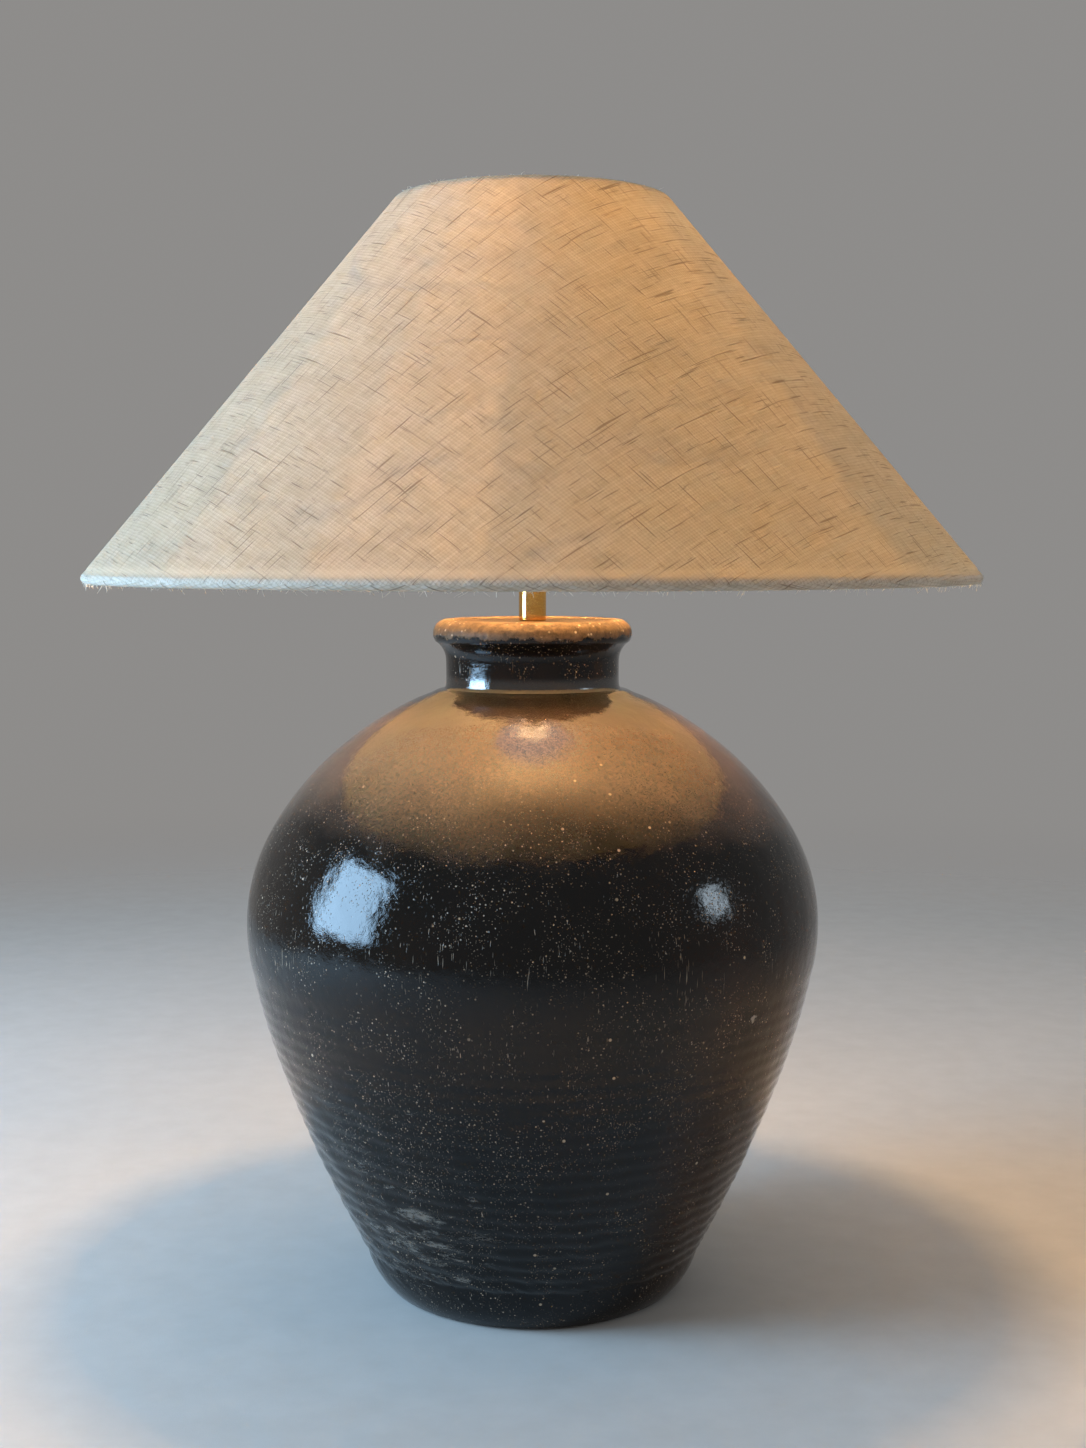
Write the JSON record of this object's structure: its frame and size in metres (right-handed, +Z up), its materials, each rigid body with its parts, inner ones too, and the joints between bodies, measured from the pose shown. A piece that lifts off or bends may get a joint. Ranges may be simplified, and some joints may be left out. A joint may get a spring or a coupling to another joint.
{
  "type": "table lamp",
  "caption": "Table lamp on a thrown, dark-glazed storage jar, with a brass neck tube and a wide conical linen shade held by a harp and a finial.",
  "frame": {"origin": "centre of the foot, on the table", "axes": "+Z up along the jar's axis, -Y towards the switch knob and the viewer, +Y towards the cord inlet"},
  "size_m": [0.6098, 0.6096, 0.7615],
  "materials": {
    "glaze": "thick glossy black-brown glaze with tan pits, over finger ridges",
    "felt": "dark pressed felt",
    "black_plastic": "moulded, satin",
    "steel": "zinc plated",
    "rubber": "matt",
    "stained_wood": "dark stain with straight grain",
    "polished_brass": "polished, slightly warm",
    "holder_brass": "lacquered",
    "fibre_card": "pressed fibre",
    "black_moulding": "phenolic moulding",
    "contact_metal": "bright",
    "bulb_insulation": "fused black insulator with its tip",
    "frosted_glass": "etched inside, lit",
    "clear_glass": "clear",
    "glowing_coil": "lit coil",
    "linen": "coarse undyed linen on the bias",
    "shade_sheet": "translucent laminated sheet",
    "shade_wire": "brass-plated wire"
  },
  "bodies": {
    "base": {"jar": "glaze", "felt_ring": "felt", "cord_grommet": "black_plastic", "threaded_rod": "steel", "rod_end_bush": "black_plastic", "rubber_washer": "rubber", "steel_washer": "steel", "lock_washer": "steel", "hex_nut": "steel", "mouth_gasket": "rubber", "mouth_cap": "stained_wood", "neck_tube": "polished_brass", "seat_ring": "polished_brass", "harp_saddle": "polished_brass", "harp": "polished_brass", "holder_cap": "holder_brass", "holder_set_screw": "steel", "holder_shell": "holder_brass", "holder_liner": "fibre_card", "holder_body": "black_moulding", "terminal_screws": "holder_brass", "screw_shell": "contact_metal", "centre_contact": "holder_brass"},
    "knob": {"switch_shaft": "holder_brass", "switch_knob": "black_moulding"},
    "sleeve_left": {"harp_sleeve_left": "polished_brass"},
    "sleeve_right": {"harp_sleeve_right": "polished_brass"},
    "bulb": {"bulb_cap": "contact_metal", "bulb_tip": "bulb_insulation", "bulb_glass": "frosted_glass", "bulb_stem": "clear_glass", "bulb_filament": "glowing_coil"},
    "stud": {"harp_stud": "polished_brass"},
    "shade": {"shade_cover": "linen", "shade_liner": "shade_sheet", "shade_bottom_ring": "shade_wire", "shade_spider": "shade_wire"},
    "finial": {"finial": "polished_brass"}
  },
  "joints": [
    {"name": "knob_turn", "type": "hinge", "parent": "base", "child": "knob", "pos_m": [0, -0.02, 0.5666], "axis": [0, -1, 0], "continuous": true},
    {"name": "sleeve_left_slide", "type": "slide", "parent": "base", "child": "sleeve_left", "axis": [0, 0, 1], "range_m": [0, 0.017]},
    {"name": "sleeve_right_slide", "type": "slide", "parent": "base", "child": "sleeve_right", "axis": [0, 0, 1], "range_m": [0, 0.017]},
    {"name": "bulb_turn", "type": "hinge", "parent": "base", "child": "bulb", "pos_m": [0, 0, 0.59], "axis": [0, 0, 1], "continuous": true},
    {"name": "shade_swivel", "type": "hinge", "parent": "base", "child": "stud", "pos_m": [0, 0, 0.732], "axis": [0, 0, 1], "continuous": true},
    {"name": "shade_lift", "type": "slide", "parent": "stud", "child": "shade", "axis": [0, 0, 1], "range_m": [0, 0.26]},
    {"name": "finial_turn", "type": "hinge", "parent": "shade", "child": "finial", "pos_m": [0, 0, 0.745], "axis": [0, 0, 1], "continuous": true}
  ]
}
